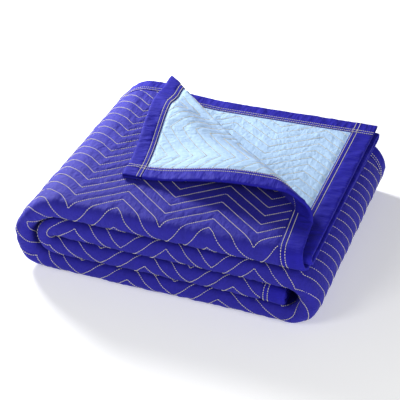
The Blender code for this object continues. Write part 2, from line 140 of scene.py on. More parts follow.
# Folds of the strip's section, as widths along v where each stretch ends
BIG_FOLD = 1.5 * LAYER
SMALL_FOLD = 0.5 * LAYER
Y_FRONT = BIG_FOLD + HALF
Y_BACK = DEPTH - SMALL_FOLD - HALF
V_UPPER = DEPTH - Y_FRONT
V_FRONT = V_UPPER + math.pi * BIG_FOLD
V_LOWER = V_FRONT + Y_BACK - Y_FRONT
V_BACK = V_LOWER + math.pi * SMALL_FOLD
V_THIRD = V_BACK + Y_BACK - Y_FRONT
V_INNER = V_THIRD + math.pi * SMALL_FOLD
Y_SECOND_EDGE = Y_FRONT + WIDTH - V_INNER

FLOOR_LIFT = 0.5 * ROLL - BIG_FOLD - HALF
X_MIDDLE = 0.5 * (X_RIGHT + ROLL + X_LEFT - 1.5 * ROLL - SPILL)
Y_MIDDLE = 0.5 * (DEPTH + FRONT_WAVE)

# Studio
CAMERA = (0.8695 - X_MIDDLE, -1.6411 - Y_MIDDLE, 1.3725 - FLOOR_LIFT)
CAMERA_LENS = 118.1          # millimetres, on a film 36 wide
CAMERA_PITCH = 33.46         # degrees down from level
CAMERA_YAW = 20.33
FLOOR_SIDE = 6.0
FLOOR_HEIGHT = -0.4 * MM
FLOOR_GLOW = 0.3
BACKDROP = (0.94, 0.96, 1.0, 1.0)
BACKDROP_LIGHT = 0.2
LAMPS = {
    # name: (place, aim, size, watts)
    "key_lamp": ((-1.2, 0.7, 0.8), (-0.05, 0.0, 0.1), 0.4, 42.0),
    "front_lamp": ((-0.8, -1.7, 1.2), (0.0, 0.0, 0.1), 0.7, 15.0),
    "side_lamp": ((1.6, -0.7, 0.6), (0.2, 0.0, 0.1), 0.8, 12.0),
}

# Relief of the quilted cloth
PUFF_POWER = 2.4             # how square the puffs between two rows are
FACE_PUFF = 0.85             # share of the puff that shows on the dark side
BACK_PUFF = 0.5
FOLD_PRESS = 0.5             # share of the puff that the front folds take away
PUCKER_PITCH = 5.5 * MM
WIDE_PITCH = 15.0 * MM
WIDE_REACH = 45.0 * MM
SWELL_ALONG = 0.055
SWELL_ACROSS = 0.06
SWELL = 0.4 * MM
MOST_HALF = 4.7 * MM
LEAST_HALF = 1.6 * MM        # half thickness under the tape
SHEEN = (0.20, 0.20, 1.0, 1.0)    # tint of the glare on the nap

# Relief of the tape
TAPE_HALF = 3.4 * MM
TAPE_ROUND = 1.6 * MM        # how soon the folded edge reaches its full height
OUTER_ROW = 2.6 * MM         # sewn rows, from the tape's cut edge
INNER_ROW = 10.0 * MM
ROW_SINK = 1.0 * MM
EDGE_SINK = 0.7 * MM
CROSS_PUCKER = 1.2 * MM
LEAN_PUCKER = 1.1 * MM
EDGE_SAG = 0.35 * MM
OPEN_END = 4.0 * MM          # how far the tape gapes at the turned corner
OPEN_REACH = 0.03
TAPE_BACK = 0.9 * MM         # cloth's edge to the inside of the tape's fold


class BlanketSizes(bpy.types.PropertyGroup):
    """Sizes of the quilting, binding and stitching."""

    row: bpy.props.FloatProperty(
        name="Row Spacing", description="Distance between two stitched rows",
        default=INCH, min=0.015, max=0.05, unit="LENGTH")
    swing: bpy.props.FloatProperty(
        name="Zigzag Swing", description="How far the zigzag swings to each side",
        default=0.0325, min=0.0, max=0.05, unit="LENGTH")
    crest: bpy.props.FloatProperty(
        name="Crest", description="Half thickness of the cloth between two rows",
        default=3.7 * MM, min=0.002, max=0.0042, unit="LENGTH")
    trough: bpy.props.FloatProperty(
        name="Trough", description="Half thickness of the cloth at a stitched row",
        default=2.0 * MM, min=0.001, max=0.003, unit="LENGTH")
    pucker: bpy.props.FloatProperty(
        name="Pucker", description="Height of the small puckers between rows",
        default=0.85 * MM, min=0.0, max=0.0015, unit="LENGTH")
    tape: bpy.props.FloatProperty(
        name="Binding Width", description="Width of the tape on each side of the cloth",
        default=1.58 * INCH, min=0.03, max=0.05, unit="LENGTH")
    stitch: bpy.props.FloatProperty(
        name="Stitch", description="Length of one stitch with the gap after it",
        default=3.4 * MM, min=0.002, max=0.008, unit="LENGTH")
    thread: bpy.props.FloatProperty(
        name="Thread", description="Thickness of the sewing thread",
        default=1.3 * MM, min=0.0004, max=0.002, unit="LENGTH")


class BlanketColours(bpy.types.PropertyGroup):
    """Colours of the cloths, tape and thread."""

    face: bpy.props.FloatVectorProperty(
        name="Face Cloth", description="Colour of the dark side", subtype="COLOR",
        size=4, default=(0.021, 0.017, 0.310, 1.0), min=0.0, max=1.0)
    back: bpy.props.FloatVectorProperty(
        name="Back Cloth", description="Colour of the light side", subtype="COLOR",
        size=4, default=(0.470, 0.670, 1.0, 1.0), min=0.0, max=1.0)
    tape: bpy.props.FloatVectorProperty(
        name="Binding", description="Colour of the binding tape", subtype="COLOR",
        size=4, default=(0.015, 0.012, 0.330, 1.0), min=0.0, max=1.0)
    thread: bpy.props.FloatVectorProperty(
        name="Thread", description="Colour of the sewing thread", subtype="COLOR",
        size=4, default=(0.760, 0.710, 0.560, 1.0), min=0.0, max=1.0)
    floor: bpy.props.FloatVectorProperty(
        name="Floor", description="Colour of the studio floor", subtype="COLOR",
        size=4, default=(0.900, 0.900, 0.900, 1.0), min=0.0, max=1.0)


def smooth(t):
    """Ease from 0 to 1."""
    t = np.clip(t, 0.0, 1.0)
    return t * t * (3.0 - 2.0 * t)


def bell(t):
    """Smooth hump, 1 in the middle."""
    return np.exp(-t * t)


def spread(start, end, steps):
    """Evenly spaced places from start to end."""
    return [start + (end - start) * i / steps for i in range(steps + 1)]


def walk(start, end, step):
    """Evenly spaced places from start to end, about a step apart."""
    return spread(start, end, max(1, math.ceil((end - start) / step)))


class Unevenness:
    """Smooth random relief over the cloth, the same at each run."""

    def __init__(self, seed):
        self.knots = np.random.default_rng(seed).uniform(-1.0, 1.0, (256, 256))

    def at(self, x, y):
        """Value from -1 to 1 at places x, y, with a knot at each whole number."""
        i, j = np.floor(x).astype(int), np.floor(y).astype(int)
        fx, fy = smooth(x - i), smooth(y - j)
        low = self.pick(i, j) * (1.0 - fx) + self.pick(i + 1, j) * fx
        high = self.pick(i, j + 1) * (1.0 - fx) + self.pick(i + 1, j + 1) * fx
        return low * (1.0 - fy) + high * fy

    def pick(self, i, j):
        return self.knots[i % 256, j % 256]


FINE_PUCKERS = Unevenness(11)
WIDE_PUCKERS = Unevenness(23)
SWELLS = Unevenness(37)
TAPE_PUCKERS = Unevenness(41)


def fullness(angle, power):
    """How far a fold fuller than round reaches at an angle, 1 where it is level."""
    total = np.abs(np.cos(angle)) ** power + np.abs(np.sin(angle)) ** power
    return total ** (-1.0 / power)


def top_end(v):
    """X of the free end on top, for each place across the width."""
    places = [0.0, V_UPPER, 0.5 * (V_UPPER + V_FRONT), V_FRONT,
              V_LOWER, V_BACK, V_THIRD, V_INNER, WIDTH]
    return np.interp(v, places, TOP_END)


def spiral(s, v):
    """Middle of the strip in the XZ plane and the direction out of the spiral."""
    x = top_end(v) * (1.0 - s / S_TOP)
    z = np.full_like(s, 3.5 * ROLL)
    nx = np.zeros_like(s)
    nz = np.ones_like(s)
    turns = [(S_TOP, S_LEFT, X_LEFT, 2.0 * ROLL, 1.5 * ROLL, 90.0),
             (S_BOTTOM, S_RIGHT, X_RIGHT, 1.5 * ROLL, ROLL, -90.0),
             (S_SECOND, S_INNER, X_LEFT_IN, 2.0 * ROLL, 0.5 * ROLL, 90.0)]
    runs = [(S_LEFT, S_BOTTOM, X_LEFT, 0.5 * ROLL, 1.0),
            (S_RIGHT, S_SECOND, X_RIGHT, 2.5 * ROLL, -1.0),
            (S_INNER, LENGTH + 1.0, X_LEFT_IN, 1.5 * ROLL, 1.0)]
    for start, end, cx, cz, radius, first in turns:
        here = (s > start) & (s <= end)
        angle = math.radians(first) + (s[here] - start) / radius
        nx[here] = np.cos(angle)
        nz[here] = np.sin(angle)
        x[here] = cx + radius * nx[here]
        z[here] = cz + radius * nz[here]
    for start, end, first, height, way in runs:
        here = (s > start) & (s <= end)
        x[here] = first + way * (s[here] - start)
        z[here] = height
        nx[here] = 0.0
        nz[here] = -way
    return x, z, nx, nz


def section(s, v):
    """Place of the cloth in the strip's section: height off its middle, and Y."""
    thirds = spread(0.0, S_TOP, 3)
    upper_edge = DEPTH + np.interp(s, thirds, UPPER_BULGE)
    second_edge = Y_SECOND_EDGE + np.interp(s, thirds, SECOND_BULGE)
    h = np.full_like(v, BIG_FOLD)
    y = Y_FRONT + (V_UPPER - v) / V_UPPER * (upper_edge - Y_FRONT)
    folds = [(V_UPPER, V_FRONT, Y_FRONT, 0.0, BIG_FOLD, 1.0, -1.0),
             (V_LOWER, V_BACK, Y_BACK, -LAYER, SMALL_FOLD, -1.0, 1.0),
             (V_THIRD, V_INNER, Y_FRONT, 0.0, SMALL_FOLD, -1.0, -1.0)]
    for start, end, cy, ch, radius, way, side in folds:
        here = (v > start) & (v <= end)
        turn = (v[here] - start) / radius
        power = FOLD_SQUARE if radius == BIG_FOLD else 2.0
        reach = radius * fullness(turn, power)
        h[here] = ch + way * reach * np.cos(turn)
        y[here] = cy + side * reach * np.sin(turn)
    lower = (v > V_FRONT) & (v <= V_LOWER)
    h[lower] = -BIG_FOLD
    y[lower] = Y_FRONT + (v[lower] - V_FRONT)
    third = (v > V_BACK) & (v <= V_THIRD)
    h[third] = -SMALL_FOLD
    y[third] = Y_BACK - (v[third] - V_BACK)
    second = v > V_INNER
    h[second] = SMALL_FOLD
    share = (v[second] - V_INNER) / (WIDTH - V_INNER)
    y[second] = Y_FRONT + share * (second_edge[second] - Y_FRONT)
    return h, y


def crease_axes():
    """Unit vectors along the crease and square to it, towards the corner."""
    ax, ay = CREASE_START
    bx, by = CREASE_END
    span = math.hypot(bx - ax, by - ay)
    along = ((bx - ax) / span, (by - ay) / span)
    return along, (-along[1], along[0]), span


def past_crease(s, v):
    """Distance of the upper layer's cloth past the start of the bend."""
    _, across, _ = crease_axes()
    x, _, _, _ = spiral(s, v)
    _, y = section(s, v)
    d = (x - CREASE_START[0]) * across[0] + (y - CREASE_START[1]) * across[1]
    return np.where((s < S_TOP) & (v < V_UPPER), d + BEND, -1.0)


def turn_corner(x, y, s, v):
    """Bend the upper layer's corner over the crease.  Returns x, y and rise."""
    along, across, _ = crease_axes()
    px = x - CREASE_START[0]
    py = y - CREASE_START[1]
    e = px * along[0] + py * along[1]
    m = px * across[0] + py * across[1] + BEND
    bent = (m > 0.0) & (s < S_TOP) & (v < V_UPPER)
    angle = np.clip(m / BEND, 0.0, math.pi)
    past = np.maximum(m - math.pi * BEND, 0.0)
    place = -BEND + BEND * np.sin(angle) - past
    rise = BEND * (1.0 - np.cos(angle))
    rise = rise - (2.0 * BEND - LAYER) * smooth(past / DROOP)
    front = v / (DEPTH - CREASE_END[1])
    reach = np.maximum(s - ARCH_FULL, 0.0) / ARCH_DEPTH
    broad = np.exp(-np.abs((front - ARCH_PLACE) / ARCH_SPREAD) ** 3)
    arch = ARCH * broad * bell(reach)
    rise = rise + arch * smooth(m / ARCH_START)
    rise = rise + HUMP * bell((s - HUMP_PLACE) / HUMP_SPREAD) * smooth(past / HUMP_START)
    over = 0.5 * (1.0 - np.cos(angle))
    rise = rise + PEAK * bell(e / PEAK_ALONG) * over * bell(past / PEAK_ACROSS)
    drawn = TUCK_CORNER + (1.0 - TUCK_CORNER) * smooth(s / TUCK_RISE)
    drawn = drawn * smooth((TUCK_END - s) / TUCK_FADE) * smooth(past / TUCK_START)
    tuck = TUCK * drawn * np.maximum(1.0 - v / TUCK_REACH, 0.0)
    new_x = CREASE_START[0] + e * along[0] + place * across[0] + tuck
    new_y = CREASE_START[1] + e * along[1] + place * across[1]
    return (np.where(bent, new_x, x), np.where(bent, new_y, y),
            np.where(bent, rise, 0.0))


def length_lines():
    """Places along the length where the part's own mesh has a line."""
    turns = spread(S_TOP, S_LEFT, 10) + spread(S_BOTTOM, S_RIGHT, 8)
    turns += spread(S_SECOND, S_INNER, 6)
    runs = (spread(0.0, S_TOP, 3) + spread(S_LEFT, S_BOTTOM, 3)
            + spread(S_RIGHT, S_SECOND, 3) + spread(S_INNER, LENGTH, 3))
    return sorted(set(round(s, 6) for s in turns + runs))[1:-1]


def width_lines():
    """Places across the width where the part's own mesh has a line."""
    folds = spread(V_UPPER, V_FRONT, 8) + spread(V_LOWER, V_BACK, 6)
    folds += spread(V_THIRD, V_INNER, 4)
    layers = spread(0.0, V_UPPER, 2) + spread(V_INNER, WIDTH, 2)
    return sorted(set(round(v, 6) for v in folds + layers))[1:-1]


def settle(x, y, z, s):
    """Uneven lie of the stack: flatter rolls at the right, a wavy front."""
    outer = smooth((np.hypot(x - X_LEFT, z - 2.0 * ROLL) - ROLL) / (0.5 * ROLL))
    low = (x < X_LEFT) & (z < 2.0 * ROLL)
    swell = fullness(np.arctan2(z - 2.0 * ROLL, x - X_LEFT), TURN_SQUARE) - 1.0
    swell = np.where(low, 1.0 + outer * swell, 1.0)
    x = X_LEFT + (x - X_LEFT) * swell
    z = 2.0 * ROLL + (z - 2.0 * ROLL) * swell
    lean = smooth((SPILL_TOP - z) / SPILL_DROP) * (1.0 - smooth(x / SPILL_REACH))
    x = x - SPILL * lean
    press = np.interp(x, [X_RIGHT * 2.0 / 3.0, X_RIGHT], [PRESS_LEFT, PRESS_RIGHT])
    heights = [0.5 * ROLL - BIG_FOLD, 2.0 * ROLL, 3.0 * ROLL, 3.5 * ROLL + BIG_FOLD]
    z = z - press * np.interp(z, heights, PRESS_SHARE)
    places = np.array([0.0] + length_lines() + [LENGTH])
    waves = FRONT_WAVE * np.sin(places / WAVE_TURN + WAVE_START)
    y = y + np.interp(s, places, waves) * (1.0 - smooth(y / WAVE_REACH))
    return x, y, z


def middle(s, v):
    """Middle surface of the folded cloth, as rows of X, Y, Z."""
    x, z, nx, nz = spiral(s, v)
    h, y = section(s, v)
    x = x + nx * h
    z = z + nz * h
    x, y, rise = turn_corner(x, y, s, v)
    x, y, z = settle(x, y, z, s)
    return np.stack([x - X_MIDDLE, y - Y_MIDDLE, z + rise - FLOOR_LIFT], axis=1)


def outward(s, v):
    """Direction off the middle surface, on the dark face's side."""
    step = 0.1 * MM
    along = middle(s + step, v) - middle(s - step, v)
    over = middle(s, v + step) - middle(s, v - step)
    normal = np.cross(along, over)
    return normal / np.linalg.norm(normal, axis=1)[:, None]


def placed(s, v, offset):
    """Point at an offset from the middle surface, positive on the dark face."""
    return middle(s, v) + offset[:, None] * outward(s, v)


def row_shift(sizes, s, v):
    """How far a stitched row lies from its straight middle: zigzag and drift."""
    turn = np.abs(np.interp(s, TIP_PLACES, TIP_COUNTS) % 2.0 - 1.0)
    under = smooth((s - S_TOP) / (S_LEFT - S_TOP))
    front = smooth((v - V_UPPER + DRIFT_START) / DRIFT_REACH) * (1.0 - under)
    return sizes.swing * (1.0 - 2.0 * turn) + ROW_DRIFT * (front - under)


def row_place(sizes, s, v):
    """Place between stitched rows: whole numbers lie on a row."""
    return (v - ROW_START - row_shift(sizes, s, v)) / sizes.row


def row_line(sizes, row, s):
    """V of a stitched row at places s."""
    straight = ROW_START + row * sizes.row + np.zeros_like(s)
    v = straight
    for _ in range(ROUNDS):
        v = straight + row_shift(sizes, s, v)
    return v


def off_edge(s, v):
    """Distance to the nearest edge of the cloth."""
    return np.minimum(np.minimum(s, LENGTH - s), np.minimum(v, WIDTH - v))


def on_fold(v, start, end, margin):
    """1 on a fold of the section, easing to 0 over a margin at each side."""
    return smooth((v - start + margin) / margin) * smooth((end + margin - v) / margin)


def quilted(sizes, s, v, side):
    """Half thickness of the quilting with its puffs and puckers."""
    place = row_place(sizes, s, v)
    band = np.floor(place)
    inside = place - band
    near = 1.0 - np.abs(2.0 * inside - 1.0)
    puff = 1.0 - (1.0 - near) ** PUFF_POWER
    deep = sizes.crest - sizes.trough
    half = sizes.crest - deep * (1.0 - puff) * (FACE_PUFF if side > 0.0 else BACK_PUFF)
    drift = 17.3 * band + 100.0 * (side < 0.0)
    fine = FINE_PUCKERS.at(s / PUCKER_PITCH + drift, 1.3 * inside + 31.0 * band)
    wide = WIDE_PUCKERS.at(s / WIDE_PITCH + drift, v / WIDE_REACH)
    pleat = on_fold(v, V_UPPER, V_FRONT, 12.0 * MM)
    half = half - FOLD_PRESS * (half - sizes.trough) * pleat
    turned = on_fold(s, S_TOP, S_LEFT, 20.0 * MM)
    lively = 0.8 + 0.35 * turned + 0.2 * pleat
    half = half + sizes.pucker * lively * (fine * near ** 0.5 + 0.9 * wide)
    swell = SWELL * SWELLS.at(s / SWELL_ALONG, v / SWELL_ACROSS)
    return np.minimum(half + swell, MOST_HALF)


def cloth_half(sizes, s, v, side):
    """Half thickness of the cloth, pressed thin under the tape."""
    half = quilted(sizes, s, v, side)
    resting = (s > S_LEFT - 0.02) & (s < S_BOTTOM + 0.02) & (v < V_UPPER + 0.01)
    if side > 0.0:
        half = np.where(resting, np.minimum(half, HALF), half)
    ramp = smooth((off_edge(s, v) - sizes.tape - 0.5 * MM) / (7.0 * MM))
    return LEAST_HALF + (half - LEAST_HALF) * ramp


def flap(s, v, margin):
    """Points of the turned corner, with a margin before the bend."""
    return past_crease(s, v) > -margin


def face_zones(sizes):
    """Where the dark side shows: (rectangle, mesh step, test)."""
    low = sizes.tape - 2.0 * MM

    def before(s, v):
        return past_crease(s, v) < 4.0 * MM

    def always(s, v):
        return np.ones_like(s, dtype=bool)

    return [((low, S_LEFT, low, V_FRONT + 6 * MM), 2.6 * MM, before),
            ((S_LEFT, LENGTH - low, V_UPPER - 8 * MM, V_FRONT + 8 * MM), 2.6 * MM, always),
            ((S_BOTTOM, S_RIGHT, low, V_UPPER - 8 * MM), 3.2 * MM, always),
            ((low, LENGTH - low, V_LOWER - 4 * MM, V_BACK + 4 * MM), 5.0 * MM, always)]


def back_zones(sizes):
    """Where the light side shows: (rectangle, mesh step, test)."""
    low = sizes.tape - 2.0 * MM

    def turned(s, v):
        return flap(s, v, 6.0 * MM)

    def uncovered(s, v):
        x = top_end(v) * (1.0 - s / S_TOP)
        _, y = section(s, v)
        _, across, _ = crease_axes()
        d = (x - CREASE_START[0]) * across[0] + (y - CREASE_START[1]) * across[1]
        return d > -0.035

    return [((low, S_TOP, low, V_UPPER), 2.3 * MM, turned),
            ((low, S_TOP, V_INNER + 0.03, WIDTH - low), 2.3 * MM, uncovered)]


def zone_points(sizes, zone):
    """Mesh points of one fine zone: an even grid, and points along the rows."""
    (s0, s1, v0, v1), step, test = zone
    s, v = (g.ravel() for g in np.meshgrid(walk(s0, s1, step), walk(v0, v1, step)))
    place = row_place(sizes, s, v)
    clear = np.abs(place - np.round(place)) * sizes.row > 0.42 * step
    points = [np.stack([s[clear], v[clear]], axis=1)]
    along = np.array(walk(s0, s1, step))
    for row in range(int(v0 / sizes.row) - 3, int(v1 / sizes.row) + 4):
        across = row_line(sizes, row, along)
        here = (across > v0) & (across < v1)
        points.append(np.stack([along[here], across[here]], axis=1))
    points = np.concatenate(points)
    return points[test(points[:, 0], points[:, 1])]


def in_zone(s, v, zone):
    """Which points lie in a zone or just beside it."""
    (s0, s1, v0, v1), step, test = zone
    margin = 0.4 * step
    box = (s > s0 - margin) & (s < s1 + margin) & (v > v0 - margin) & (v < v1 + margin)
    return box & test(s, v)


def plain_points(sizes):
    """Mesh points of the cloth where nothing fine shows."""
    s0, s1 = CLOTH_START, LENGTH - TAPE_SEAM
    v0, v1 = TAPE_SEAM, WIDTH - TAPE_SEAM
    s_lines = [s0, s1] + [s for s in length_lines() if 0.05 < s < LENGTH - 0.05]
    v_lines = [v0, v1] + [v for v in width_lines() if 0.05 < v < WIDTH - 0.05]
    for place in (sizes.tape, sizes.tape + 4.0 * MM):
        s_lines += [place, LENGTH - place]
        v_lines += [place, WIDTH - place]
    for a, b in zip(sorted(s_lines), sorted(s_lines)[1:]):
        if b - a > 0.04:
            s_lines += walk(a, b, 0.035)[1:-1]
    for a, b in zip(sorted(v_lines), sorted(v_lines)[1:]):
        if b - a > 0.04:
            v_lines += walk(a, b, 0.035)[1:-1]
    lines = np.meshgrid(sorted(set(s_lines)), sorted(set(v_lines)))
    lattice = np.stack([g.ravel() for g in lines], axis=1)
    fine = np.meshgrid(walk(s0, S_TOP, 6 * MM), walk(v0, V_UPPER, 6 * MM))
    corner = np.stack([g.ravel() for g in fine], axis=1)
    corner = corner[flap(corner[:, 0], corner[:, 1], 8.0 * MM)]
    turned = flap(lattice[:, 0], lattice[:, 1], 10.0 * MM)
    border = np.min(np.abs(lattice[:, [0, 0, 1, 1]] - [s0, s1, v0, v1]), axis=1) < 1e-6
    return np.concatenate([lattice[~turned | border], corner])


def triangulate(points):
    """Triangles over points of the (s, v) plane, all turned the same way."""
    kept = np.unique(np.round(points, 6), axis=0)
    found = delaunay_2d_cdt([Vector(p) for p in kept.tolist()], [], [], 0, 1e-5)
    flat = np.array([(p.x, p.y) for p in found[0]])
    faces = np.array(found[2])
    a, b, c = (flat[faces[:, i]] for i in range(3))
    u, w = b - a, c - a
    turned = u[:, 0] * w[:, 1] - u[:, 1] * w[:, 0]
    faces[turned < 0.0] = faces[turned < 0.0][:, ::-1]
    return flat, faces[np.abs(turned) > 1e-12]


def rim_order(flat):
    """Indices of the border points of the cloth, in order round it."""
    s, v = flat[:, 0], flat[:, 1]
    tiny = 1e-5
    sides = [(np.abs(v - v.min()) < tiny, s), (np.abs(s - s.max()) < tiny, v),
             (np.abs(v - v.max()) < tiny, -s), (np.abs(s - s.min()) < tiny, -v)]
    order = []
    for on_side, key in sides:
        found = np.nonzero(on_side)[0]
        order += [int(i) for i in found[np.argsort(key[found])] if i not in order]
    return order


def add_mesh(name, points, faces, surface=None):
    """Mesh object at the origin, smooth, with its cloth coordinates as a UV map."""
    mesh = bpy.data.meshes.new(name)
    mesh.from_pydata(points.tolist(), [], [list(face) for face in faces])
    if surface is not None:
        layer = mesh.uv_layers.new(name="cloth")
        corners = np.zeros(len(mesh.loops), dtype=np.int32)
        mesh.loops.foreach_get("vertex_index", corners)
        layer.data.foreach_set("uv", surface[corners].astype(np.float32).ravel())
    mesh.shade_smooth()
    item = bpy.data.objects.new(name, mesh)
    bpy.context.scene.collection.objects.link(item)
    return item


def add_cloth(name, sizes, side, zones):
    """One cloth of the quilt, from the seam in the middle out to its own side."""
    plain = plain_points(sizes)
    kept = np.ones(len(plain), dtype=bool)
    for zone in zones:
        kept &= ~in_zone(plain[:, 0], plain[:, 1], zone)
    shown = triangulate(np.concatenate([plain[kept]] + [zone_points(sizes, z) for z in zones]))
    hidden = triangulate(plain)
    s, v = shown[0][:, 0], shown[0][:, 1]
    outer = placed(s, v, side * cloth_half(sizes, s, v, side))
    seam = np.full(len(hidden[0]), side * 0.15 * MM)
    inner = placed(hidden[0][:, 0], hidden[0][:, 1], seam)
    base = len(outer)
    faces = [tuple(f) for f in shown[1].tolist()]
    faces += [tuple(base + i for i in f[::-1]) for f in hidden[1].tolist()]
    outer_rim, inner_rim = rim_order(shown[0]), rim_order(hidden[0])
    count = len(outer_rim)
    if count != len(inner_rim):
        raise RuntimeError(f"{name}: the two sides meet at {count} and {len(inner_rim)} points")
    for i in range(count):
        after = (i + 1) % count
        faces.append((outer_rim[i], base + inner_rim[i],
                      base + inner_rim[after], outer_rim[after]))
    if side < 0.0:
        faces = [face[::-1] for face in faces]
    surface = np.concatenate([shown[0], hidden[0]])
    return add_mesh(name, np.concatenate([outer, inner]), faces, surface)


def tape_rows(sizes):
    """The two sewn rows of the tape, as distances from its folded edge."""
    return [sizes.tape - OUTER_ROW, sizes.tape - INNER_ROW]


def tape_columns(sizes):
    """Distances from the folded edge where the tape's mesh has a line."""
    outer, inner = tape_rows(sizes)
    near = [0.0, 0.5, 1.2, 2.2, 3.6, 5.5, 8.0, 11.0, 14.0, 17.5, 21.0, 24.5, 27.2]
    places = [n * MM for n in near]
    places += [inner - 1.2 * MM, inner, inner + 1.2 * MM, 0.5 * (inner + outer),
               outer - 1.2 * MM, outer, outer + 1.2 * MM, sizes.tape]
    return [-p for p in places[:0:-1]] + places


def tape_relief(sizes, t, a, seed):
    """Inset from the edge and height off the cloth's middle of the tape's outside.

    Seed 0 is the tape whose end gapes at the turned corner."""
    reach = np.abs(a)
    side = np.sign(a)
    rows = tape_rows(sizes)
    height = TAPE_HALF * (1.0 - np.exp(-reach / TAPE_ROUND))
    sewn = sum(bell((reach - row) / (2.0 * MM)) for row in rows)
    height = height - ROW_SINK * sewn
    height = height - EDGE_SINK * smooth((reach - rows[0]) / OUTER_ROW)
    free = smooth(reach / (6.0 * MM)) * smooth((rows[1] - reach) / (8.0 * MM))
    cross = TAPE_PUCKERS.at(t / (6.5 * MM) + seed, 0.4 * a / (10.0 * MM) + 40.0)
    lean = TAPE_PUCKERS.at((t + 0.6 * reach) / (14.0 * MM) + 3.0 * seed, 60.0 + 0.1 * side)
    height = height + (CROSS_PUCKER * cross + LEAN_PUCKER * lean) * free
    if seed == 0.0:
        height = height + OPEN_END * (1.0 - smooth(t / OPEN_REACH)) * (side > 0.0) * free
    sag = EDGE_SAG * TAPE_PUCKERS.at(t / (9.0 * MM) + 7.0 * seed, 90.0 + 0.0 * a)
    inset = np.maximum(reach - TAPE_BACK, 0.0) + np.abs(sag) * bell(reach / (6.0 * MM))
    return inset, side * height


def add_tape(name, sizes, stations, to_cloth, seed):
    """Folded tape along one edge.  to_cloth gives (s, v) from place and inset."""
    columns = tape_columns(sizes)
    t, a = (g.ravel() for g in np.meshgrid(stations, columns, indexing="ij"))
    inset, height = tape_relief(sizes, t, a, seed)
    outer = placed(*to_cloth(t, inset), height)
    under = [-sizes.tape, -0.4 * sizes.tape, -2.0 * MM, 0.0,
             2.0 * MM, 0.4 * sizes.tape, sizes.tape]
    ti, ai = (g.ravel() for g in np.meshgrid(stations, under, indexing="ij"))
    leg = np.where(np.abs(ai) > 0.1 * MM, 1.9 * MM, 0.0)
    inner = placed(*to_cloth(ti, np.maximum(np.abs(ai) - TAPE_BACK, 1.0 * MM)),
                   np.sign(ai) * leg)
    wide, narrow, count = len(columns), len(under), len(stations)
    base = len(outer)
    faces = []
    for i in range(count - 1):
        for j in range(wide - 1):
            here = i * wide + j
            faces.append((here, here + wide, here + wide + 1, here + 1))
        for j in range(narrow - 1):
            here = base + i * narrow + j
            faces.append((here, here + 1, here + narrow + 1, here + narrow))
        low, low_in = i * wide, base + i * narrow
        faces.append((low, low_in, low_in + narrow, low + wide))
        high, high_in = low + wide - 1, low_in + narrow - 1
        faces.append((high, high + wide, high_in + narrow, high_in))
    for i in (0, count - 1):
        ring = [i * wide + j for j in range(wide)]
        ring += [base + i * narrow + j for j in reversed(range(narrow))]
        faces.append(tuple(ring) if i == 0 else tuple(ring[::-1]))
    points = np.concatenate([outer, inner])
    if volume(points, faces) < 0.0:
        faces = [face[::-1] for face in faces]
    surface = np.stack([np.concatenate([t, ti]), np.concatenate([a, ai])], axis=1)
    return add_mesh(name, points, faces, surface)


def volume(points, faces):
    """Volume inside a closed mesh, negative if its faces point in."""
    total = 0.0
    for face in faces:
        a = points[face[0]]
        for i in range(1, len(face) - 1):
            total += float(np.dot(a, np.cross(points[face[i]], points[face[i + 1]])))
    return total / 6.0


def stitch_starts(line_s, line_v, pitch):
    """Ends of each stitch along a polyline of the (s, v) plane."""
    line_s, line_v = np.asarray(line_s), np.asarray(line_v)
    steps = np.hypot(np.diff(line_s), np.diff(line_v))
    runs = np.concatenate([[0.0], np.cumsum(steps)])
    count = max(1, int(runs[-1] / pitch))
    cuts = np.linspace(0.0, runs[-1], count + 1)
    return np.interp(cuts, runs, line_s), np.interp(cuts, runs, line_v)


def quilt_stitches(sizes, zones):
    """Start and end in (s, v) of each quilting stitch that lies in a zone."""
    tips = np.interp(range(TIP_COUNTS[-1]), TIP_COUNTS, TIP_PLACES)
    clear = sizes.tape + 1.0 * MM
    found = []
    for row in range(-2, math.ceil(WIDTH / sizes.row) + 2):
        for a, b in zip(tips, tips[1:]):
            line = np.linspace(a + 1e-6, b - 1e-6, 12)
            s, v = stitch_starts(line, row_line(sizes, row, line), sizes.stitch)
            found.append(np.stack([s[:-1], v[:-1], s[1:], v[1:]], axis=1))
    found = np.concatenate(found)
    mid_s = 0.5 * (found[:, 0] + found[:, 2])
    mid_v = 0.5 * (found[:, 1] + found[:, 3])
    shown = np.zeros(len(found), dtype=bool)
    for zone in zones:
        shown |= in_zone(mid_s, mid_v, zone)
    return found[shown & (off_edge(mid_s, mid_v) > clear)]


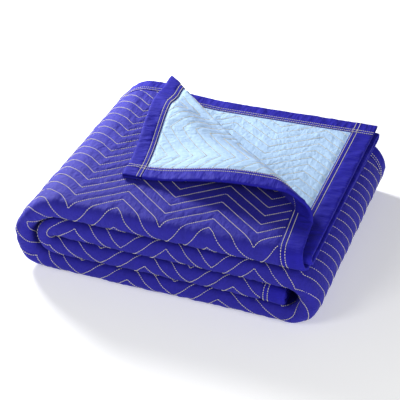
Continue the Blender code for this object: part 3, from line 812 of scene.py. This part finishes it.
def thread_mesh(name, sizes, starts, place_at):
    """Short slender stitches, each a spindle of four sides lying on the cloth."""
    radius = 0.5 * sizes.thread
    shares = np.array([0.04, 0.27, 0.73, 0.96])
    lifts = np.array([-0.8, 0.8, 0.8, -0.8]) * radius
    centres = []
    for share, lift in zip(shares, lifts):
        s = starts[:, 0] + share * (starts[:, 2] - starts[:, 0])
        v = starts[:, 1] + share * (starts[:, 3] - starts[:, 1])
        centres.append(place_at(s, v, lift))
    tangent = centres[3][0] - centres[0][0]
    tangent /= np.linalg.norm(tangent, axis=1)[:, None]
    rows = [centres[0][0]]
    for centre, normal in centres[1:3]:
        sideways = np.cross(tangent, normal)
        sideways /= np.linalg.norm(sideways, axis=1)[:, None]
        for turn in range(4):
            angle = math.radians(45.0 + 90.0 * turn)
            rows.append(centre + radius * (math.cos(angle) * sideways
                                           + math.sin(angle) * normal))
    rows.append(centres[3][0])
    points = np.stack(rows, axis=1)
    pattern = []
    for k in range(4):
        nxt = (k + 1) % 4
        pattern.append((0, 1 + nxt, 1 + k))
        pattern.append((1 + k, 1 + nxt, 5 + nxt))
        pattern.append((1 + k, 5 + nxt, 5 + k))
        pattern.append((9, 5 + k, 5 + nxt))
    pattern = np.array(pattern)
    if volume(points[0], pattern.tolist()) < 0.0:
        pattern = pattern[:, ::-1]
    count = len(points)
    faces = (pattern[None, :, :] + 10 * np.arange(count)[:, None, None]).reshape(-1, 3)
    return add_mesh(name, points.reshape(-1, 3), faces.tolist())


class Value:
    """One value of a finish.  Arithmetic on it adds Math nodes."""

    def __init__(self, finish, socket):
        self.finish = finish
        self.socket = socket

    def sum_up(self, operation, first, second):
        return self.finish.node("ShaderNodeMath", {"operation": operation},
                                {0: first, 1: second})

    def __add__(self, other):
        return self.sum_up("ADD", self, other)

    def __radd__(self, other):
        return self.sum_up("ADD", other, self)

    def __sub__(self, other):
        return self.sum_up("SUBTRACT", self, other)

    def __rsub__(self, other):
        return self.sum_up("SUBTRACT", other, self)

    def __mul__(self, other):
        return self.sum_up("MULTIPLY", self, other)

    def __rmul__(self, other):
        return self.sum_up("MULTIPLY", other, self)


class Finish:
    """A material, made node by node."""

    def __init__(self, name, **constants):
        self.material = bpy.data.materials.new(name)
        self.material.use_nodes = True
        self.tree = self.material.node_tree
        self.shader = self.tree.nodes["Principled BSDF"]
        for key, value in constants.items():
            self.shader.inputs[key.replace("_", " ")].default_value = value

    def node(self, kind, settings, inputs, output=0):
        """Add a node, set it up, then give its sockets values or links."""
        item = self.tree.nodes.new(kind)
        for key, value in settings.items():
            setattr(item, key, value)
        for key, value in inputs.items():
            self.give(item.inputs[key], value)
        return Value(self, item.outputs[output])

    def give(self, socket, value):
        if isinstance(value, Value):
            self.tree.links.new(value.socket, socket)
        else:
            socket.default_value = value

    def mix(self, share, first, second):
        """Colour between two others."""
        return self.node("ShaderNodeMix", {"data_type": "RGBA"},
                         {0: share, 6: first, 7: second}, 2)

    def surface(self, across, along):
        """Cloth coordinates, with so many repeats to a metre each way."""
        place = self.node("ShaderNodeUVMap", {"uv_map": "cloth"}, {})
        return self.node("ShaderNodeMapping", {}, {"Vector": place,
                                                   "Scale": (along, across, 1.0)})

    def noise(self, place, scale, detail):
        return self.node("ShaderNodeTexNoise", {},
                         {"Vector": place, "Scale": scale, "Detail": detail})

    def bump(self, height, distance, strength=1.0):
        self.give(self.shader.inputs["Normal"],
                  self.node("ShaderNodeBump", {}, {"Height": height, "Distance": distance,
                                                   "Strength": strength}))

    def colour(self, value):
        self.give(self.shader.inputs["Base Color"], value)


def shade(colour, factor):
    """A colour made darker or lighter."""
    return tuple(min(1.0, factor * c) for c in colour[:3]) + (1.0,)


def napped_cloth(name, colour, dark, light, sheen):
    """Soft brushed cloth: mottled colour, fine nap and faint streaks."""
    finish = Finish(name, Roughness=0.75, Sheen_Weight=sheen, Sheen_Roughness=0.4,
                    Specular_IOR_Level=0.2)
    finish.give(finish.shader.inputs["Sheen Tint"], SHEEN)
    even = finish.surface(1.0, 1.0)
    patches = finish.noise(even, 55.0, 3.0)
    grain = finish.noise(even, 900.0, 2.0)
    streaks = finish.noise(finish.surface(1.0, 3.0), 260.0, 2.0)
    mottle = 0.45 * patches + 0.3 * grain + 0.25 * streaks
    finish.colour(finish.mix(mottle, shade(colour, dark), shade(colour, light)))
    crinkle = finish.noise(finish.surface(1.0, 1.6), 130.0, 3.0)
    finish.bump(0.15 * grain + 0.25 * streaks + 1.0 * crinkle, 2.2 * MM, 0.9)
    return finish.material


def woven_tape(name, colour):
    """Firm woven tape with fine crosswise ribs."""
    finish = Finish(name, Roughness=0.75, Sheen_Weight=0.02, Sheen_Roughness=0.4,
                    Specular_IOR_Level=0.15)
    even = finish.surface(1.0, 1.0)
    patches = finish.noise(even, 70.0, 3.0)
    ribs = finish.noise(finish.surface(0.25, 1.0), 700.0, 2.0)
    finish.colour(finish.mix(0.6 * patches + 0.4 * ribs, shade(colour, 0.7),
                             shade(colour, 1.35)))
    wrinkles = finish.noise(finish.surface(0.25, 1.0), 150.0, 2.0)
    finish.bump(0.15 * ribs + wrinkles, 3.0 * MM, 0.9)
    return finish.material


def sewing_thread(name, colour):
    """Plain spun thread."""
    finish = Finish(name, Roughness=0.7, Specular_IOR_Level=0.3)
    place = finish.node("ShaderNodeTexCoord", {}, {}, 3)
    wear = finish.noise(place, 320.0, 1.0)
    finish.colour(finish.mix(wear, shade(colour, 0.75), shade(colour, 1.2)))
    return finish.material


def dress(item, material):
    """Give a piece its finish and let it go with the folded part."""
    item.data.materials.clear()
    item.data.materials.append(material)
    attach(item, "root")
    return item


class BLANKET_OT_face_cloth(bpy.types.Operator):
    """Lay the dark quilted cloth on its folded form"""

    bl_idname = "blanket.face_cloth"
    bl_label = "Face Cloth"

    def execute(self, context):
        sizes, colours = context.scene.blanket_sizes, context.scene.blanket_colours
        item = add_cloth("face_cloth", sizes, 1.0, face_zones(sizes))
        dress(item, napped_cloth("royal_blue_cloth", colours.face, 0.55, 1.45, 0.30))
        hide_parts("face_panel")
        return {"FINISHED"}


class BLANKET_OT_back_cloth(bpy.types.Operator):
    """Lay the light quilted cloth on its folded form"""

    bl_idname = "blanket.back_cloth"
    bl_label = "Back Cloth"

    def execute(self, context):
        sizes, colours = context.scene.blanket_sizes, context.scene.blanket_colours
        item = add_cloth("back_cloth", sizes, -1.0, back_zones(sizes))
        dress(item, napped_cloth("light_blue_cloth", colours.back, 0.82, 1.15, 0.1))
        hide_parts("back_panel")
        return {"FINISHED"}


def tapes(sizes):
    """Each tape: stations and cloth place."""
    low = sizes.tape + 0.3 * MM
    long_way = walk(0.0, S_TOP, 3 * MM) + walk(S_TOP, S_LEFT, 4 * MM)[1:]
    long_way += walk(S_LEFT, LENGTH, 6 * MM)[1:]
    short_way = walk(low, V_FRONT, 3 * MM) + walk(V_FRONT, V_INNER, 5 * MM)[1:]
    short_way += walk(V_INNER, WIDTH - low, 3 * MM)[1:]
    return {
        "upper_side": (long_way, lambda t, w: (t, w)),
        "lower_side": (long_way, lambda t, w: (t, WIDTH - w)),
        "top_end": (short_way, lambda t, w: (w, t)),
        "inner_end": (walk(low, WIDTH - low, 4.5 * MM), lambda t, w: (LENGTH - w, t)),
    }


class BLANKET_OT_binding(bpy.types.Operator):
    """Fold the binding tape over the four edges"""

    bl_idname = "blanket.binding"
    bl_label = "Binding"

    def execute(self, context):
        sizes, colours = context.scene.blanket_sizes, context.scene.blanket_colours
        material = woven_tape("navy_binding_tape", colours.tape)
        for seed, (name, (stations, to_cloth)) in enumerate(tapes(sizes).items()):
            item = add_tape("tape_" + name, sizes, stations, to_cloth, 10.0 * seed)
            dress(item, material)
            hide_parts("binding_" + name)
            stations[-1] - stations[0]
        return {"FINISHED"}


class BLANKET_OT_quilting_thread(bpy.types.Operator):
    """Sew the zigzag rows on both cloths"""

    bl_idname = "blanket.quilting_thread"
    bl_label = "Quilting Thread"

    def execute(self, context):
        sizes, colours = context.scene.blanket_sizes, context.scene.blanket_colours
        material = sewing_thread("cream_thread", colours.thread)
        for name, side, zones in (("face_stitching", 1.0, face_zones(sizes)),
                                  ("back_stitching", -1.0, back_zones(sizes))):

            def on_cloth(s, v, lift, side=side):
                normal = side * outward(s, v)
                half = cloth_half(sizes, s, v, side)
                return middle(s, v) + (half + lift)[:, None] * normal, normal

            item = thread_mesh(name, sizes, quilt_stitches(sizes, zones), on_cloth)
            dress(item, material)
        return {"FINISHED"}


def crossing(sizes, place, side):
    """Stitches of an end tape's row that run on over the side tape."""
    t, a = stitch_starts([place, place], [2.0 * MM * side, sizes.tape * side], sizes.stitch)
    return np.stack([t[:-1], a[:-1], t[1:], a[1:]], axis=1)


class BLANKET_OT_binding_thread(bpy.types.Operator):
    """Sew the two rows along each tape"""

    bl_idname = "blanket.binding_thread"
    bl_label = "Binding Thread"

    def execute(self, context):
        sizes = context.scene.blanket_sizes
        material = bpy.data.materials["cream_thread"]
        for seed, (name, (stations, to_cloth)) in enumerate(tapes(sizes).items()):
            starts = []
            for row in tape_rows(sizes):
                for side in (1.0, -1.0):
                    t, a = stitch_starts([stations[0], stations[-1]],
                                         [side * row, side * row], sizes.stitch)
                    starts.append(np.stack([t[:-1], a[:-1], t[1:], a[1:]], axis=1))
                    if "side" in name:
                        starts += [crossing(sizes, row, side),
                                   crossing(sizes, LENGTH - row, side)]

            def on_tape(t, a, lift, seed=seed, to_cloth=to_cloth):
                inset, height = tape_relief(sizes, t, a, 10.0 * seed)
                s, v = to_cloth(t, inset)
                side = np.sign(a)
                normal = side[:, None] * outward(s, v)
                return middle(s, v) + (np.abs(height) + lift)[:, None] * normal, normal

            item = thread_mesh(name + "_stitching", sizes, np.concatenate(starts), on_tape)
            dress(item, material)
        return {"FINISHED"}


class BLANKET_OT_studio(bpy.types.Operator):
    """Set the pale floor, soft lamps and camera"""

    bl_idname = "blanket.studio"
    bl_label = "Studio"

    def execute(self, context):
        colours = context.scene.blanket_colours
        side, down = FLOOR_SIDE, FLOOR_HEIGHT
        corners = np.array([(-side, -side, down), (side, -side, down),
                            (side, side, down), (-side, side, down)])
        floor = add_mesh("studio_floor", corners, [(0, 1, 2, 3)])
        finish = Finish("pale_floor", Roughness=0.9, Emission_Strength=FLOOR_GLOW)
        finish.give(finish.shader.inputs["Emission Color"], (1.0, 1.0, 1.0, 1.0))
        finish.colour(tuple(colours.floor))
        floor.data.materials.append(finish.material)
        context.scene.view_settings.view_transform = "Standard"
        world = bpy.data.worlds.new("studio_light")
        context.scene.world = world
        world.use_nodes = True
        backdrop = world.node_tree.nodes["Background"]
        backdrop.inputs["Color"].default_value = BACKDROP
        backdrop.inputs["Strength"].default_value = BACKDROP_LIGHT
        for name, (place, aim, size, watts) in LAMPS.items():
            lamp = bpy.data.lights.new(name, "AREA")
            lamp.size = size
            lamp.energy = watts
            item = bpy.data.objects.new(name, lamp)
            item.location = place
            look = Vector(aim) - Vector(place)
            item.rotation_euler = look.to_track_quat("-Z", "Y").to_euler()
            context.scene.collection.objects.link(item)
        camera = bpy.data.cameras.new("camera")
        camera.lens = CAMERA_LENS
        camera.sensor_width = 36.0
        item = bpy.data.objects.new("camera", camera)
        item.location = CAMERA
        item.rotation_euler = (math.radians(90.0 - CAMERA_PITCH), 0.0,
                               math.radians(CAMERA_YAW))
        context.scene.collection.objects.link(item)
        context.scene.camera = item
        return {"FINISHED"}


STEPS = (BLANKET_OT_face_cloth, BLANKET_OT_back_cloth, BLANKET_OT_binding,
         BLANKET_OT_quilting_thread, BLANKET_OT_binding_thread, BLANKET_OT_studio)


class BLANKET_PT_panel(bpy.types.Panel):
    """Sizes, colours and steps of the blanket"""

    bl_idname = "BLANKET_PT_panel"
    bl_label = "Moving Blanket"
    bl_space_type = "VIEW_3D"
    bl_region_type = "UI"
    bl_category = "Blanket"

    def draw(self, context):
        layout = self.layout
        for group in (context.scene.blanket_sizes, context.scene.blanket_colours):
            for name in group.__annotations__:
                layout.prop(group, name)
        for step in STEPS:
            layout.operator(step.bl_idname)


CLASSES = (BlanketSizes, BlanketColours) + STEPS + (BLANKET_PT_panel,)


def register():
    for cls in CLASSES:
        bpy.utils.register_class(cls)
    bpy.types.Scene.blanket_sizes = bpy.props.PointerProperty(type=BlanketSizes)
    bpy.types.Scene.blanket_colours = bpy.props.PointerProperty(type=BlanketColours)


def unregister():
    del bpy.types.Scene.blanket_colours
    del bpy.types.Scene.blanket_sizes
    for cls in reversed(CLASSES):
        bpy.utils.unregister_class(cls)


def main():
    register()
    bpy.ops.blanket.face_cloth()
    bpy.ops.blanket.back_cloth()
    bpy.ops.blanket.binding()
    bpy.ops.blanket.quilting_thread()
    bpy.ops.blanket.binding_thread()
    bpy.ops.blanket.studio()


if __name__ == "__main__":
    main()
